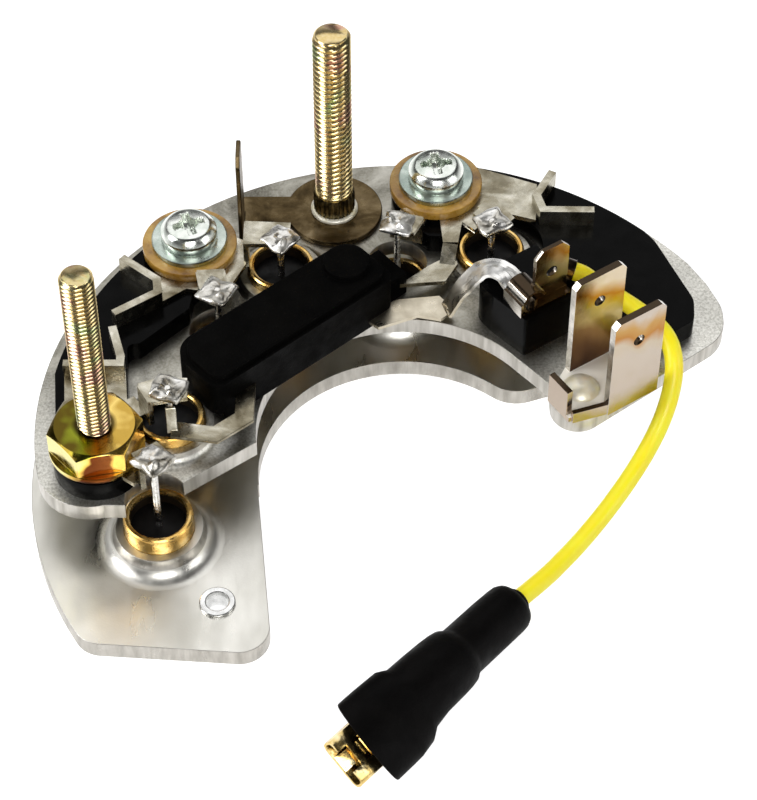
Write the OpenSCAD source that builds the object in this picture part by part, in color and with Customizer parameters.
// Alternator rectifier: two horseshoe heatsinks, six press-fit diodes, exciter diode block and terminals.
// Plan places are measured from the alternator's shaft axis; in_frame() moves them to the part's own frame.

/* [Heatsinks] */
// Outer radius of both heatsink plates
plate_r = 57.5; // [54:0.5:64]
// Radius of the shaft opening in both plates
opening_r = 22.6; // [18:0.1:23]
// Thickness of each plate
plate_t = 3; // [2:0.1:4]
// Gap between the plates
plate_gap = 7; // [5:0.5:9]
// How far the lower plate's tail reaches in front of the shaft axis
tail_reach = 34.5; // [31:0.5:40]
// Where the tail's right-hand edge is, left of the shaft axis
tail_inset = 20; // [16:0.5:22]
// How far the upper plate's right lobe reaches from the shaft axis
lobe_reach = 50.4; // [46:0.2:53]
// Corner radius of the tail
corner_r = 4.5; // [2:0.5:6]

/* [Diodes] */
// Places of the three diodes pressed into the lower plate: left
lower_left = [-37, -13.5]; // [-60:0.1:60]
// Lower diode, middle
lower_middle = [-28.9, 20.3]; // [-60:0.1:60]
// Lower diode, right
lower_right = [-1, 35.1]; // [-60:0.1:60]
// Places of the three diodes pressed into the upper plate: left
upper_left = [-35.5, 0.2]; // [-60:0.1:60]
// Upper diode, middle
upper_middle = [-19.5, 31.7]; // [-60:0.1:60]
// Upper diode, right
upper_right = [14, 35.4]; // [-60:0.1:60]
// Outer radius of a diode cup
cup_r = 5.35; // [4.6:0.05:5.8]
// Height of a diode cup
cup_h = 9; // [7:0.5:11]
// Wall of a diode cup
cup_wall = 1.15; // [0.6:0.05:1.6]
// Thickness of a diode cup's floor
cup_floor = 1.6; // [1:0.1:3]
// Depth from a cup's rim down to its resin
resin_depth = 2.2; // [0.5:0.1:4]
// Edge length of a silicon die
die_w = 3.6; // [2:0.1:4.5]
// Thickness of a silicon die
die_t = 0.4; // [0.2:0.1:0.8]
// Diameter of a diode's lead wire
lead_d = 1.1; // [0.8:0.1:1.6]
// Height of the raised collar round a lower diode
lower_collar_h = 3.1; // [1:0.1:4]
// Wall of the collar at its rim
collar_wall = 1.3; // [0.8:0.1:2]
// Radius of the upper plate's holes over the lower diodes
access_r = 4.75; // [4:0.05:5.2]
// How far the upper diodes' rims stand above the upper plate
cup_stand = 3.1; // [2:0.1:4]
// Height of the raised collar round an upper diode
upper_collar_h = 1.5; // [0.5:0.1:2]

/* [Studs] */
// Place of the output stud
output_place = [-11.2, 46.3]; // [-60:0.1:60]
// Diameter of the output stud's thread
output_d = 6; // [5:0.5:8]
// Height of the output stud's top above the base
output_top = 51.5; // [45:0.5:65]
// Diameter of the knurled foot of the output stud
knurl_d = 6.7; // [6.5:0.1:9]
// Height of the knurled foot above the upper plate
knurl_h = 5.4; // [3:0.1:7]
// Place of the phase tap stud
tap_place = [-45.9, -7.2]; // [-60:0.1:60]
// Diameter of the phase tap stud's thread
tap_d = 5; // [4:0.5:6]
// Height of the phase tap stud's top above the base
tap_top = 54.2; // [45:0.1:65]
// Width across the flats of the phase tap nut
nut_flats = 12.5; // [10:0.1:13]
// Height of the phase tap nut
nut_h = 5.2; // [3:0.1:6]

/* [Screws] */
// Place of the left screw
screw_left = [-34, 34.1]; // [-60:0.1:60]
// Place of the right screw
screw_right = [5.3, 47.8]; // [-60:0.1:60]
// Diameter of the screws' shanks
screw_d = 4; // [3:0.5:5]
// Diameter of the screws' pan heads
head_d = 8.9; // [8:0.1:11]
// Height of the screws' pan heads
head_h = 3.2; // [2.4:0.1:4]
// Diameter of the steel washers
washer_d = 12; // [10.5:0.1:13]
// Thickness of the steel washers
washer_t = 1; // [0.6:0.1:1.6]
// Diameter of the insulating washers
insulator_d = 15; // [13.5:0.1:16]
// Thickness of the insulating washers
insulator_t = 1.5; // [1:0.1:2.5]
// Diameter of the spacer bushes between the plates
spacer_d = 8.5; // [8:0.5:12]

/* [Terminals] */
// Thickness of the phase terminals' sheet
sheet_t = 0.8; // [0.5:0.1:1.2]
// Thickness of the insulating mouldings under them
moulding_t = 3.5; // [2.5:0.1:5]
// Height of the claws that grip the stator leads
claw_h = 3; // [2:0.1:5]
// Thickness of the claws, their edge folded over
claw_t = 1.3; // [0.8:0.1:1.6]
// Height of the solder tabs above the phase terminals
tab_rise = 3.7; // [2.5:0.1:6]
// Width of the large output blades
blade_w = 9.5; // [8:0.1:11]
// Height of the large output blades
blade_h = 19.8; // [14:0.1:22]
// Thickness of the large output blades
blade_t = 1.2; // [0.8:0.1:1.6]
// Width of the small indicator blade
small_blade_w = 6.3; // [4.8:0.1:7]
// Height of the small indicator blade
small_blade_h = 10.5; // [8:0.5:13]
// Thickness of the small indicator blade
small_blade_t = 0.7; // [0.5:0.1:1]
// Front corner of the output blade bracket, at the foot of the front blade
bracket_place = [31.2, 4.2]; // [-60:0.1:60]
// Direction of the output blades
bracket_turn = 34; // [28:1:40]
// Distance between the two output blades
blade_pitch = 9.7; // [8.5:0.1:11]
// Front corner of the indicator terminal's block
indicator_place = [18.6, 14.9]; // [-60:0.1:60]
// Size of the indicator terminal's block
indicator_size = [11, 12.4, 8]; // [7:0.1:13]
// Radius of the hole in the tail's eyelet
eyelet_r = 1.7; // [1.4:0.1:2]
// Height of the narrow blade on the output strap
sense_blade_h = 18.2; // [13:0.2:21]
// Place of the eyelet in the tail
eyelet_place = [-27.9, -25.5]; // [-60:0.1:60]

/* [Exciter diodes] */
// Front left corner of the exciter diode block
trio_place = [-28.4, 0.7]; // [-60:0.1:60]
// Direction of the block's long side
trio_turn = 41; // [38:1:44]
// Length, width and height of the block
trio_size = [36, 11.3, 9]; // [8:0.1:40]
// Thickness of its connecting strips
strip_t = 0.6; // [0.4:0.1:1]

/* [Sense lead] */
// Diameter of the yellow wire
wire_d = 2.9; // [2:0.1:3.5]
// Diameter of the connector boot's wide end
boot_d = 12.6; // [11:0.1:14]
// Diameter of the connector boot's wire end
boot_neck_d = 6.2; // [5:0.1:8]
// Length of the connector boot
boot_l = 35; // [30:0.5:40]

/* [Hidden] */
$fn = 64;
lower_top = plate_t;
upper_base = plate_t + plate_gap;
upper_top = upper_base + plate_t;
sheet_z = upper_top + moulding_t;
sheet_top = sheet_z + sheet_t;
tab_z = sheet_top + tab_rise;
tab_top = tab_z + sheet_t;
upper_cup_z = upper_top + cup_stand - cup_h;
washer_z = sheet_top + insulator_t;
head_z = washer_z + washer_t;
frame_shift = [(plate_r - lobe_reach) / 2, (tail_reach - plate_r) / 2, 0];
SIDES = ["left", "middle", "right"];
lower_diodes = [lower_left, lower_middle, lower_right];
upper_diodes = [upper_left, upper_middle, upper_right];
screws = [screw_left, screw_right];
// How far the output blades start behind their bracket's place
blade_back = 1.1;
// Radius of the phase tap stud's neck, which the nut sits on, and where its thread starts above the nut
tap_neck_r = tap_d / 2 - 0.4;
tap_thread = sheet_top + nut_h + 0.3;
// Radial play of parts pressed or screwed into a plate, and of parts that slip over others
press = 0.02;
slip = 0.15;
big = 200;
cup_bore_r = cup_r - cup_wall;
resin_top = cup_h - resin_depth;
upper_collar_r = cup_r + press + collar_wall + upper_collar_h;
bush_r = screw_d / 2 + 1.2;
moulding_rim_r = plate_r - 3.4;
// The mouldings' outlines are drawn for a plate of this radius, and follow it
drawn_r = 57.5;
// Rounding where the lower plate's right-hand end meets the shaft opening
end_r = 6;
end_at = 51;
end_turn = 20;
end_centre = (opening_r + end_r) * [cos(end_at), sin(end_at)];
end_foot = end_centre + end_r * [sin(end_turn), -cos(end_turn)];
// Rounding of the tail's left-hand corner, where its front edge meets the outer rim
tail_left_y = -tail_reach + 1.5;
tail_centre = [-sqrt(pow(plate_r - corner_r, 2) - pow(tail_left_y + corner_r, 2)), tail_left_y + corner_r];
tail_rim = tail_centre * plate_r / norm(tail_centre);
tail_edge = tail_centre - [0, corner_r];
tail_centre_right = [-tail_inset - corner_r, -tail_reach + corner_r];
// The upper plate's rim swings in a little on its left, from this direction on
rim_turn = 120;
rim_in = 2.4;
tap_lobe_r = 8.1;
lobe_r = 7;
tap_lobe_at = tap_place - [1.3, 0];
strap_t = 1;
strap_r = 7.8;
strap_end = output_place + [-14.6, -7];
strap_arm = [-3.5, 2.9];
solder_r = 2;
solder_h = 1.1;
block_top = upper_top + indicator_size[2];
base_t = 1;

function toward(a, b) = (b - a) / norm(b - a);
function turned(v, a) = [v[0] * cos(a) - v[1] * sin(a), v[0] * sin(a) + v[1] * cos(a)];
// A place given along and across a piece's own direction
function local(at, turn, p) = at + turned(p, turn);

module in_frame() translate(frame_shift) children();
module at(p, z = 0) translate([p[0], p[1], z]) children();
module slab(z, t) translate([0, 0, z]) linear_extrude(t) children();
module drill(p, z, h, r) at(p, z) cylinder(h = h, r = r);

// Outline with rounded corners, its points in anticlockwise order
module rounded(points, radii) {
    n = len(points);
    corners = [for (i = [0 : n - 1])
        let (u = toward(points[i], points[(i + n - 1) % n]), v = toward(points[i], points[(i + 1) % n]))
        let (half = acos(u * v) / 2, convex = cross(v, u) > 0)
        [points[i] + u * radii[i] / tan(half), points[i] + v * radii[i] / tan(half),
            points[i] + (u + v) / norm(u + v) * radii[i] / sin(half), radii[i], convex]];
    difference() {
        union() {
            polygon([for (c = corners) each [c[0], c[1]]]);
            for (c = corners) if (c[3] > 0 && c[4]) translate(c[2]) circle(c[3]);
        }
        for (c = corners) if (c[3] > 0 && !c[4]) translate(c[2]) circle(c[3]);
    }
}

// Strip of sheet along a path in plan, its corners mitred
function side(path, i) = turned(toward(path[i], path[i + 1]), 90);
function strip_side(path, d) = [for (i = [0 : len(path) - 1])
    let (m = side(path, max(i - 1, 0)), n = side(path, min(i, len(path) - 2)))
    path[i] + (m + n) / (1 + m * n) * d];
function reversed(path) = [for (i = [len(path) - 1 : -1 : 0]) path[i]];
module strip(path, w, z, t) {
    slab(z, t) polygon(concat(strip_side(path, w / 2), strip_side(reversed(path), w / 2)));
}

// Flat bar in plan, and a wall that stands on edge along the same line
module bar(p, q, w, z, t) {
    d = q - p;
    at(p, z) rotate(atan2(d[1], d[0])) translate([0, -w / 2, 0]) cube([norm(d), w, t]);
}
module wall(p, q, z, h, t = sheet_t) bar(p, q, t, z, h);
// Flat bar between two points at different heights
module ramp(p, q, w, t) {
    d = q - p;
    run = norm([d[0], d[1]]);
    translate(p) rotate([0, -atan2(d[2], run), atan2(d[1], d[0])])
        translate([0, -w / 2, 0]) cube([norm(d), w, t]);
}

// Raised collar with a flared foot, standing on a plate
module collar(h) {
    rim = cup_r + press + collar_wall;
    rotate_extrude() difference() {
        square([rim + h, h]);
        translate([rim + h, h]) circle(h);
    }
}

module lower_outline() {
    difference() {
        intersection() {
            circle(plate_r);
            union() {
                polygon([tail_centre_right + [corner_r, 0], [-opening_r, -3], [0, 0],
                    opening_r * [cos(end_at), sin(end_at)], end_foot,
                    end_foot + 26 * [cos(end_turn), sin(end_turn)], [big, big], [-big, big],
                    tail_rim + 20 * (tail_rim - tail_edge), tail_edge, tail_centre_right - [0, corner_r]]);
                translate(end_centre) circle(end_r);
                translate(tail_centre_right) circle(corner_r);
                translate(tail_centre) circle(corner_r);
            }
        }
        circle(opening_r);
    }
}

module lower_heatsink() {
    in_frame() color("gainsboro") difference() {
        union() {
            slab(0, plate_t) lower_outline();
            for (p = lower_diodes) at(p, lower_top) collar(lower_collar_h);
        }
        for (p = lower_diodes) drill(p, -1, big, cup_r + press);
        for (p = screws) drill(p, -1, big, screw_d / 2 + press);
        drill(eyelet_place, -1, big, eyelet_r + 0.5 + press);
        drill(eyelet_place, -1, 1 + 0.5, eyelet_r + 1 + press);
    }
}

module upper_outline() {
    difference() {
        intersection() {
            union() {
                rotate(rim_turn) intersection() {
                    circle(plate_r);
                    translate([-big, -big]) square([2 * big, big]);
                }
                rotate(rim_turn) translate([rim_in, 0]) circle(plate_r - rim_in);
            }
            union() {
                rounded([tap_lobe_at - [0, tap_lobe_r - 0.4], lower_left + [0, -1.5], lower_left + [4.2, 3.1],
                    [-opening_r + 0.4, -2.5], [0, 0], [16.5, 15.4], [22.3, 9], [22.65, -2.35],
                    [lobe_reach, -2.35 + 0.773 * (lobe_reach - 22.65)], [lobe_reach, 25.2],
                    [lobe_reach - 2, 30.2], [lobe_reach - 5.2, 35.8], [big, big],
                    [-big, big], [-big, tap_place[1]], tap_lobe_at - [tap_lobe_r, 0]],
                    [0, 0, 0, 1, 0, 0, 0, 4.2, lobe_r, lobe_r, lobe_r, 0, 0, 0, 0, 0]);
                translate(tap_lobe_at) circle(tap_lobe_r);
            }
        }
        circle(opening_r);
        translate(lower_left) circle(access_r);
    }
}

module upper_heatsink() {
    in_frame() color("silver") difference() {
        union() {
            slab(upper_base, plate_t) upper_outline();
            for (p = upper_diodes) at(p, upper_top) collar(upper_collar_h);
        }
        for (p = upper_diodes) drill(p, 0, big, cup_r + press);
        for (p = [lower_middle, lower_right]) drill(p, 0, big, access_r);
        for (p = screws) drill(p, 0, big, bush_r + slip);
        drill(output_place, 0, big, knurl_d / 2 + press);
        drill(tap_place, 0, big, tap_d / 2 + 2);
        drill(local(bracket_place, bracket_turn, [-1.7, blade_pitch / 2]), 0, big, 1.6 + press);
    }
}

// One press-fit diode, its four pieces taking the same place
module cup(p, z) {
    in_frame() color("darkgoldenrod") at(p, z) difference() {
        cylinder(h = cup_h, r = cup_r);
        translate([0, 0, cup_floor]) cylinder(h = big, r = cup_bore_r);
    }
}
module die_shape() translate([-die_w / 2, -die_w / 2, cup_floor]) cube([die_w, die_w, die_t]);
module lead_shape(top) {
    translate([0, 0, cup_floor + die_t]) cylinder(h = 0.5, r = 1.7);
    translate([0, 0, cup_floor + die_t]) cylinder(h = top - cup_floor - die_t, r = lead_d / 2);
}
module die(p, z) in_frame() color("dimgray") at(p, z) die_shape();
module lead(p, z) in_frame() color("lightgray") at(p, z) lead_shape(tab_top + 0.5 - z);
module resin(p, z) {
    in_frame() color([0.04, 0.04, 0.05]) at(p, z) difference() {
        translate([0, 0, cup_floor]) cylinder(h = resin_top - cup_floor, r = cup_bore_r);
        die_shape();
        lead_shape(big);
    }
}

module collar_room(p) drill(p, upper_top - 1, upper_collar_h + 1 + slip, upper_collar_r + slip);

module left_moulding() {
    in_frame() color([0.05, 0.05, 0.05]) difference() {
        union() {
            slab(upper_top, moulding_t) intersection() {
                circle(moulding_rim_r);
                union() {
                    translate(tap_place) circle(6.8);
                    translate(screw_left) circle(insulator_d / 2 - 0.3);
                    scale(plate_r / drawn_r) rounded([[-41, -7], [-42, 3], [-42.8, 14], [-40.9, 14.3],
                        [-33.6, 21.7], [-33.2, 25.5], [-30, 30], [-38, 42], [-44, 36], [-49, 26], [-52.4, 17],
                        [-53.5, 8], [-52.5, -3], [-50, -7]], [0, 0, 1, 1, 1, 1, 0, 0, 0, 0, 0, 0, 2, 0]);
                }
            }
            drill(tap_place, upper_base, plate_t, tap_d / 2 + 2 - press);
        }
        collar_room(upper_left);
        collar_room(upper_middle);
        tap_stud_shape();
        drill(screw_left, 0, big, bush_r + slip);
    }
}

module right_moulding() {
    in_frame() color([0.05, 0.05, 0.05]) difference() {
        union() {
            slab(upper_top, moulding_t) difference() {
                intersection() {
                    circle(moulding_rim_r + 0.6);
                    union() {
                        translate(screw_right) circle(insulator_d / 2 - 0.3);
                        scale(plate_r / drawn_r) rounded([[-1, 46], [0.5, 41], [4, 37.6], [9, 37.4],
                            local(indicator_place, bracket_turn, [indicator_size[0] - 2, indicator_size[1] - 1]),
                            local(indicator_place, bracket_turn, [indicator_size[0] - 1, 1]), [34, 20.8],
                            [41.7, 16.6], [45.2, 19.2], [45.5, 23.6], [40.2, 36.6], [37, 41], [31, 46], [25, 60], [4, 60]],
                            [0, 1, 1, 0, 0, 0, 1, 1, 2, 4, 9, 9, 9, 0, 0]);
                    }
                }
                translate(upper_right) circle(upper_collar_r + slip);
            }
            slab(upper_top, indicator_size[2]) translate(indicator_place) rotate(bracket_turn)
                rounded([[0, 0], [indicator_size[0], 0], [indicator_size[0], indicator_size[1]],
                    [-1.4, indicator_size[1]], [-1.2, 7]], [0.5, 0.5, 0.5, 3, 3]);
        }
        collar_room(upper_right);
        drill(screw_right, 0, big, bush_r + slip);
    }
}

// A claw is a V of hemmed sheet that stands on edge and grips a stator lead
module claw(path) strip(path, claw_t, sheet_z, claw_h);
// A solder tab stands over a diode on a riser along one of its edges
module tab(outline, p, riser_a, riser_b) {
    difference() {
        slab(tab_z, sheet_t) translate(p) polygon(outline);
        drill(p, 0, big, lead_d / 2 + press);
    }
    wall(p + riser_a, p + riser_b, sheet_z, tab_top - sheet_z, sheet_t);
}

module phase_terminal_front() {
    in_frame() color("lightgray") difference() {
        union() {
            drill(tap_place, sheet_z, sheet_t, 6.2);
            slab(sheet_z, sheet_t) polygon([tap_place + [-5, 2], tap_place + [4.6, 2], [-42.6, 8], [-52, 8]]);
            claw([[-45, 15.2], [-43.3, 9], [-43.3, 7.6], [-52, 7.6]]);
            bar(tap_place + [4, 7], upper_left + [-4.4, 1], 4, sheet_z, sheet_t);
            tab([[-4.6, 1.2], [-2.6, -2.6], [3, -1.6], [2.8, 2.3], [-1.3, 2.5]], upper_left, [-4.3, 0.9], [-2.5, -2.4]);
            bar(tap_place + [2, -2], lower_left + [-2, 0.6], 3.4, sheet_z, sheet_t);
            tab([[-3.2, 1.3], [-1.6, -1.8], [1.2, -2.4], [3, 0.8], [0.4, 3.6]], lower_left, [-2.7, 1.5], [-1.5, -1.2]);
        }
        drill(tap_place, 0, big, tap_d / 2 + slip);
    }
}

module phase_terminal_left() {
    in_frame() color("lightgray") difference() {
        union() {
            drill(screw_left, sheet_z, sheet_t, insulator_d / 2 - 1);
            slab(sheet_z, sheet_t) polygon([screw_left + [-5, -3], [-39.4, 28.5], [-38, 22.3], [-34.2, 25.2],
                lower_middle + [-3.6, 4.6], lower_middle + [1.2, 4.6], [-25, 30.6], [-25, 35.6], screw_left + [4, 4]]);
            claw([[-44.5, 30], [-38.7, 25.2], [-38.4, 22.6], [-45, 18]]);
            tab([[-3.6, 4.2], [-2.9, 0.8], [-1.6, -1.7], [1.7, 0.6], [1, 4.6]], lower_middle, [-3.4, 4.2], [0.9, 4.5]);
            tab([[-5.6, -1.1], [1.4, -1.1], [1.6, 3.6], [-5.6, 4]], upper_middle, [-5.4, -1], [-5.4, 3.9]);
        }
        drill(screw_left, 0, big, bush_r + slip);
    }
}

module phase_terminal_right() {
    knee = [7.5, 35.4];
    foot = [6.9, 31.9];
    low_z = upper_top + 2.2;
    in_frame() color("lightgray") difference() {
        union() {
            drill(screw_right, sheet_z, sheet_t, insulator_d / 2 - 1);
            slab(sheet_z, sheet_t) polygon([screw_right + [3, -5], [16.4, 42], [21.3, 40.4], [21.8, 48.6], [11.5, 52.8],
                screw_right + [2, 5]]);
            claw([[24.3, 49.4], [21.5, 44], [22.4, 40.7], [30.6, 40.6]]);
            slab(sheet_z, sheet_t) polygon([screw_right + [0.4, -5], knee - [1.2, 0], knee + [1.2, 0], screw_right + [4.6, -5]]);
            ramp([knee[0], knee[1], sheet_z], [foot[0], foot[1], low_z], 2.4, sheet_t);
            slab(low_z, sheet_t) polygon([[-0.6, 27.4], [6.6, 28.1], [8.6, 31.9], [8.4, 32.6], [5.6, 32.6], [3.9, 31.4]]);
            bar(screw_right + [-3, -4], lower_right + [1, 2], 4.5, sheet_z, sheet_t);
            tab([[-1.9, -0.6], [2.6, -2], [4.2, 1.2], [-1, 2.8]], lower_right, [-1, 2.6], [4, 1.1]);
            bar(screw_right + [3, -4], upper_right + [-1.2, 4.2], 4, sheet_z, sheet_t);
            tab([[-3, 2], [1, -1.9], [3.6, 1], [0.3, 6]], upper_right, [-1.9, 3.3], [-0.6, 4.9]);
        }
        drill(screw_right, 0, big, bush_r + slip);
    }
}

module solder_at(p) {
    at(p, tab_top) difference() {
        intersection() {
            translate([0, 0, solder_h - solder_r * 1.6]) sphere(solder_r * 1.6);
            cylinder(h = big, r = solder_r);
        }
        cylinder(h = 0.5, r = lead_d / 2 + press);
    }
}
module solder_front() in_frame() color("whitesmoke") for (p = [lower_left, upper_left]) solder_at(p);
module solder_left() in_frame() color("whitesmoke") for (p = [lower_middle, upper_middle]) solder_at(p);
module solder_right() in_frame() color("whitesmoke") for (p = [lower_right, upper_right]) solder_at(p);

// Spacer between the plates, with a sleeve that insulates the screw from everything above
module spacer(p) {
    in_frame() color("tan") at(p) difference() {
        union() {
            translate([0, 0, lower_top]) cylinder(h = plate_gap, r = spacer_d / 2);
            translate([0, 0, lower_top]) cylinder(h = sheet_top - lower_top, r = bush_r);
        }
        cylinder(h = big, r = screw_d / 2 + slip);
    }
}
module insulating_washer(p) in_frame() color("peru") ring(p, sheet_top, insulator_d / 2, insulator_t);
module steel_washer(p) in_frame() color("silver") ring(p, washer_z, washer_d / 2, washer_t);
module ring(p, z, r, t) {
    at(p, z) difference() {
        cylinder(h = t, r = r);
        translate([0, 0, -1]) cylinder(h = big, r = screw_d / 2 + slip);
    }
}
module screw(p) {
    rim_h = 0.9;
    dome_h = head_h - rim_h;
    dome_r = (pow(head_d / 2, 2) + pow(dome_h, 2)) / 2 / dome_h;
    in_frame() color("silver") at(p) difference() {
        union() {
            cylinder(h = head_z, r = screw_d / 2);
            intersection() {
                translate([0, 0, head_z]) cylinder(h = head_h, r = head_d / 2);
                translate([0, 0, head_z + head_h - dome_r]) sphere(dome_r);
            }
        }
        translate([0, 0, head_z + head_h]) for (a = [0, 90]) rotate(a) cube([head_d * 0.55, 1.1, 3.4], center = true);
    }
}

module output_strap() {
    arm_x = strap_end[0] - small_blade_t / 2;
    arm_y = [for (y = strap_arm) output_place[1] + y];
    in_frame() color("peru") difference() {
        union() {
            drill(output_place, upper_top, strap_t, strap_r);
            slab(upper_top, strap_t) polygon([[arm_x, strap_end[1]], strap_end + [2.4, 0], [strap_end[0] + 4, arm_y[0]],
                [output_place[0], arm_y[0]], [output_place[0], arm_y[1]], [arm_x, arm_y[1]]]);
            translate([strap_end[0] - small_blade_t, strap_end[1], upper_top]) rotate([90, 0, 90])
                linear_extrude(small_blade_t) blade_outline(small_blade_w, sense_blade_h, 1.3);
        }
        drill(output_place, 0, big, knurl_d / 2 + press);
    }
}
module output_stud() {
    in_frame() color("darkkhaki") at(output_place) {
        translate([0, 0, upper_base - 1.6]) cylinder(h = 1.6, r = 5.5);
        translate([0, 0, upper_base - 1]) cylinder(h = upper_top + knurl_h + 1 - upper_base, r = knurl_d / 2);
        cylinder_between(upper_top + strap_t, upper_top + strap_t + 0.7, knurl_d / 2 + 0.35);
        cylinder_between(upper_top, output_top - 0.6, output_d / 2);
        translate([0, 0, output_top - 0.6]) cylinder(h = 0.6, r1 = output_d / 2, r2 = output_d / 2 - 0.6);
    }
}
module cylinder_between(z, top, r) translate([0, 0, z]) cylinder(h = top - z, r = r);

module tap_stud_shape() {
    at(tap_place) {
        cylinder_between(upper_base + 1, upper_base + 2.6, tap_d / 2 + 1);
        cylinder_between(upper_base + 1, tap_thread + 0.5, tap_neck_r);
        cylinder_between(tap_thread, tap_top - 0.5, tap_d / 2);
        translate([0, 0, tap_top - 0.5]) cylinder(h = 0.5, r1 = tap_d / 2, r2 = tap_d / 2 - 0.5);
    }
}
module tap_stud() in_frame() color("darkkhaki") tap_stud_shape();
module tap_nut() {
    corner = nut_flats / 2 / cos(30);
    in_frame() color("goldenrod") at(tap_place, sheet_top) difference() {
        intersection() {
            rotate(12) union() {
                cylinder(h = nut_h, r = corner, $fn = 6);
                cylinder(h = 0.9, r = corner);
            }
            cylinder(h = nut_h, r1 = 6 + nut_h / tan(30), r2 = 6);
        }
        translate([0, 0, -1]) cylinder(h = big, r = tap_neck_r + press);
    }
}

module trio_lead_front_shape() {
    z = upper_top + cup_stand + 0.5;
    path = [upper_left + [0.6, -3.8], [-28.4, -4.6], [-24.2, -1.2], [-24.2, 6]];
    strip(path, 3, z, strip_t);
    ramp([path[0][0], path[0][1], z], [upper_left[0] + 0.4, upper_left[1] - 2.2, tab_z - strip_t], 1.6, strip_t);
}
module trio_lead_middle_shape() {
    difference() {
        ramp([-23.6, 16, tab_z - 4], [lower_middle[0] + 1.4, lower_middle[1] + 0.6, tab_z - strip_t - 0.3], 3.6, strip_t);
        drill(lower_middle, 0, big, lead_d / 2 + slip);
    }
}
module trio_output_shape() {
    z = upper_top + 1;
    slab(z, strip_t) polygon([[-7, 22], [-4, 19.4], [2.2, 22], [5.8, 21.2], [8, 23.2], [5.6, 26.2], [-1, 25.4]]);
    ramp([6.6, 23.4, z], [8, 23.4, tab_z - 2.4], 3.4, strip_t);
    ramp([7.8, 23.2, tab_z - 3], [12.4, 25.2, block_top + 1.6], 3.6, strip_t);
    bar([12.2, 26.4], [17.4, 20.6], 3.4, block_top + 1.6, strip_t);
}

// The exciter block's outline, drawn in by an inset
module trio_outline(inset) {
    l = trio_size[0] - inset;
    w = trio_size[1] - inset;
    rounded([[inset, inset], [l, inset], [l, w], [inset, w]], [2, 2, 3.4, 4]);
}
module trio_block() {
    in_frame() color([0.05, 0.05, 0.05]) difference() {
        at(trio_place, upper_top) rotate(trio_turn) union() {
            linear_extrude(trio_size[2] - 1) trio_outline(0);
            linear_extrude(trio_size[2]) trio_outline(0.8);
            translate([trio_size[0] - 1, 2, 0]) cube([5, trio_size[1] - 4.5, 4.5]);
            translate([trio_size[0] - 4.9, trio_size[1] - 5, 0]) cylinder(h = trio_size[2] + 0.9, r = 3.6);
        }
        collar_room(upper_left);
        collar_room(upper_middle);
        trio_lead_front_shape();
        trio_lead_middle_shape();
        trio_output_shape();
        for (p = lower_diodes) drill(p, upper_base, big, lead_d / 2 + slip);
    }
}
module trio_lead_front() in_frame() color("lightgray") trio_lead_front_shape();
module trio_lead_middle() in_frame() color("lightgray") trio_lead_middle_shape();
module trio_output_strip() in_frame() color("lightgray") trio_output_shape();

// Flat blade seen square on, with its leading corners cut
module blade_outline(w, h, cut) polygon([[0, 0], [w, 0], [w, h - cut * 1.1], [w - cut, h], [cut, h], [0, h - cut * 1.1]]);
module blade(w, h, t, cut, hole, drop) {
    rotate([90, 0, 0]) difference() {
        linear_extrude(t) blade_outline(w, h, cut);
        translate([w * 0.5, h - drop, -1]) cylinder(h = big, r = hole);
    }
}

module indicator_terminal() {
    in_frame() color("darkgoldenrod") {
        at(indicator_place, block_top) rotate(bracket_turn) {
            translate([3.2, 3, 0]) blade(small_blade_w, small_blade_h, small_blade_t, 1.3, 1, 5.2);
            translate([-0.4, 0.8, 0]) cube([9.8, 4.6, 0.5]);
            translate([-0.4, 0.8, 0]) cube([0.5, 4.6, 2.6]);
            translate([2.2, 0.8, 0]) cube([0.5, 1.2, 2.6]);
        }
        along_wire_start() difference() {
            translate([0, 0, -1]) cylinder(h = 2.4, r = wire_d / 2 + 0.4);
            cylinder(h = big, r = wire_d / 2 + press);
        }
    }
}
module indicator_solder() {
    in_frame() color("whitesmoke") at(local(indicator_place, bracket_turn, [1.2, 3.2]), block_top + 0.5)
        cylinder(h = 1.1, r1 = 1, r2 = 0.8);
}

module blade_bracket() {
    in_frame() color("darkgoldenrod") at(bracket_place, upper_top) rotate(bracket_turn) difference() {
        union() {
            linear_extrude(base_t) polygon([[-6.9, 1.1], [0, -blade_t], [blade_w - blade_back, -blade_t],
                [blade_w - blade_back, blade_pitch], [-blade_back, blade_pitch], [-6.9, 6.4]]);
            translate([-blade_back, 0, 0]) blade(blade_w, blade_h, blade_t, 0.9, 1, 5.6);
            translate([-blade_back, blade_pitch, 0]) blade(blade_w, blade_h, blade_t, 0.9, 1, 5.6);
            translate([-6.9, 1.7, 0]) cube([1, 4.7, 6]);
            wall([-6.4, 0.9], [-0.4, -0.7], 0, 2.2, 0.8);
        }
        translate([-1.7, blade_pitch / 2, -1]) cylinder(h = 3, r = 1.6 + press);
    }
}
module bracket_rivet() {
    dome_r = 2.9;
    in_frame() color("khaki") at(local(bracket_place, bracket_turn, [-1.7, blade_pitch / 2])) {
        cylinder_between(upper_base - 1, upper_top + base_t + 0.4, 1.6);
        cylinder_between(upper_base - 1, upper_base, 2.6);
        intersection() {
            cylinder_between(upper_top + base_t, upper_top + base_t + 2, dome_r);
            translate([0, 0, upper_top + base_t + 1.6 - 3.6]) sphere(3.6);
        }
    }
}
module tail_eyelet() {
    in_frame() color("silver") at(eyelet_place) difference() {
        union() {
            cylinder_between(0.1, lower_top + 0.5, eyelet_r + 0.5);
            cylinder_between(lower_top, lower_top + 0.5, eyelet_r + 1);
            cylinder_between(0.1, 0.5, eyelet_r + 1);
        }
        translate([0, 0, -1]) cylinder(h = big, r = eyelet_r);
    }
}

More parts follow.
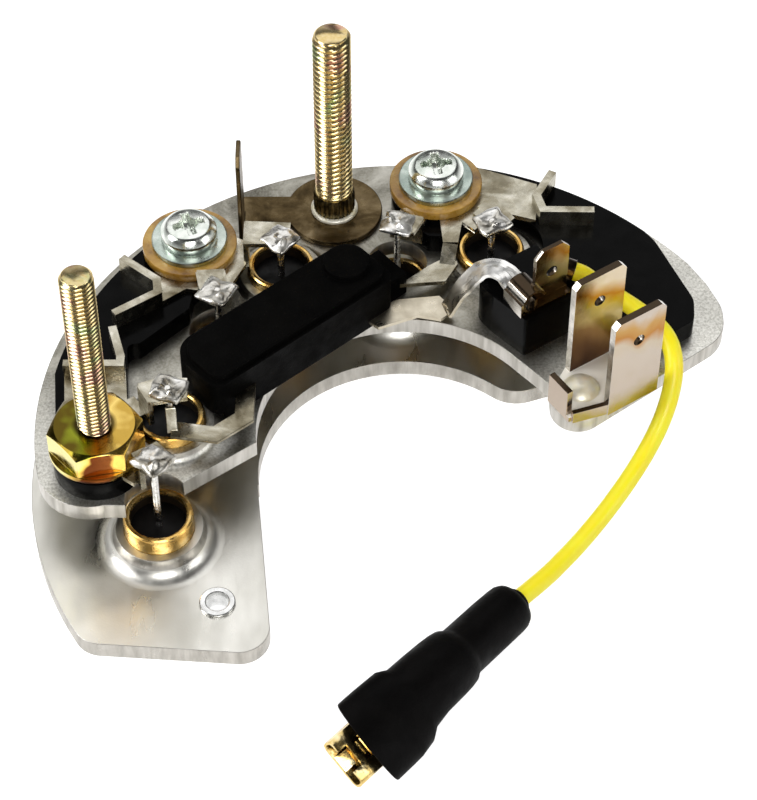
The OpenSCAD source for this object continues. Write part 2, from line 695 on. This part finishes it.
// The boot lies on its waist and on its shoulder; radii and distances from its wire end
boot_waist_r = boot_neck_d / 2 + 1.9;
boot_waist = 0.42 * boot_l;
boot_shoulder_r = boot_d / 2 - 0.2;
boot_shoulder = 0.76 * boot_l;
boot_drop = atan((boot_shoulder_r - boot_waist_r) / (boot_shoulder - boot_waist));
boot_start = [16.7, -25.4, boot_waist_r * cos(boot_drop) - boot_waist * sin(boot_drop)];
boot_turn = 229.7;
// Route of the sense wire, from its crimp over the plate's edge to the boot on the surface below
wire_route = [[24.9, 23.9, 23.2], [27.5, 23.4, 22.5], [29, 23, 21.6], [30.8, 22.4, 20.4], [33.3, 21.4, 19.2],
    [35.7, 20.1, 18.5], [37.8, 18.4, 18.2], [39.5, 16.7, 18], [40.6, 15.2, 17.6], [41.2, 13.9, 17],
    [41.6, 12.5, 16.2], [41.7, 10.9, 15.2], [41.7, 9.7, 13.9], [41.3, 8.4, 12.3], [40.7, 7, 10.4],
    [40, 5.4, 8.6], [38.8, 3.6, 6.9], [37.4, 1.6, 5.4], [35.5, -1.3, 4], [33.1, -4.6, 3], [30.8, -7.7, 2.4],
    [28.6, -10.7, 1.9], [26.1, -13.8, 1.6], [23.7, -17.1, 1.8], [21.1, -20.3, 2.6], boot_start];

function unit(v) = v / norm(v);
function heading(path, i) = unit(path[min(i + 1, len(path) - 1)] - path[max(i - 1, 0)]);
// Rings of points round a route, one at each of its points
function ring_points(path, r, sides) = [for (i = [0 : len(path) - 1])
    let (t = heading(path, i), a = unit(cross(t, [0, 0, 1])), b = cross(a, t))
    for (k = [0 : sides - 1]) path[i] + r * (cos(360 * k / sides) * a + sin(360 * k / sides) * b)];
function tube_faces(n, sides) = concat(
    [[for (k = [0 : sides - 1]) k]],
    [for (i = [0 : n - 2], k = [0 : sides - 1])
        [i * sides + k, (i + 1) * sides + k, (i + 1) * sides + (k + 1) % sides, i * sides + (k + 1) % sides]],
    [[for (k = [sides - 1 : -1 : 0]) (n - 1) * sides + k]]);

module sense_wire() {
    sides = 8;
    in_frame() color("gold")
        polyhedron(ring_points(wire_route, wire_d / 2, sides), tube_faces(len(wire_route), sides), convexity = 6);
}

// Places Z along the wire's first stretch, at its very start
module along_wire_start() {
    d = wire_route[1] - wire_route[0];
    translate(wire_route[0]) rotate([0, acos(d[2] / norm(d)), atan2(d[1], d[0])]) children();
}

// Places the boot's own axis, X along it from the wire end, on the surface below
module on_boot() {
    translate(boot_start) rotate([0, 0, boot_turn]) rotate([0, -boot_drop, 0]) rotate([0, 90, 0]) children();
}
module connector_boot() {
    neck = boot_neck_d / 2;
    wide = boot_d / 2;
    in_frame() color([0.05, 0.05, 0.05]) on_boot() difference() {
        rotate_extrude() polygon([[0, 0], [neck, 0], [neck + 1.3, boot_l * 0.38], [boot_waist_r, boot_waist],
            [boot_waist_r, boot_l * 0.72], [boot_shoulder_r, boot_shoulder], [wide, boot_l], [0, boot_l]]);
        translate([0, 0, boot_l - 16]) cylinder(h = 17, r = 4.6);
    }
}
module female_terminal() {
    width = 7.4;
    rise = 3;
    wall_t = 0.5;
    start = boot_l - 16;
    in_frame() color("goldenrod") on_boot() translate([0, 0, start]) rotate(90) difference() {
        translate([-width / 2, -rise / 2, 0]) cube([width, rise, 21]);
        translate([-width / 2 + wall_t, -rise / 2 + wall_t, -1]) cube([width - 2 * wall_t, rise - 2 * wall_t, 23]);
        translate([-width / 2 + 1.9, 0, -1]) cube([width - 3.8, rise, 23]);
    }
}

for (i = [0 : 2]) {
    cup(lower_diodes[i], 0);
    cup(upper_diodes[i], upper_cup_z);
    die(lower_diodes[i], 0);
    die(upper_diodes[i], upper_cup_z);
    lead(lower_diodes[i], 0);
    lead(upper_diodes[i], upper_cup_z);
    resin(lower_diodes[i], 0);
    resin(upper_diodes[i], upper_cup_z);
}
for (i = [0 : 1]) {
    side = ["left", "right"][i];
    spacer(screws[i]);
    insulating_washer(screws[i]);
    steel_washer(screws[i]);
    screw(screws[i]);
}
lower_heatsink();
upper_heatsink();
left_moulding();
right_moulding();
phase_terminal_front();
phase_terminal_left();
phase_terminal_right();
solder_front();
solder_left();
solder_right();
output_strap();
output_stud();
tap_stud();
tap_nut();
trio_block();
trio_lead_front();
trio_lead_middle();
trio_output_strip();
indicator_terminal();
indicator_solder();
blade_bracket();
bracket_rivet();
tail_eyelet();
sense_wire();
connector_boot();
female_terminal();
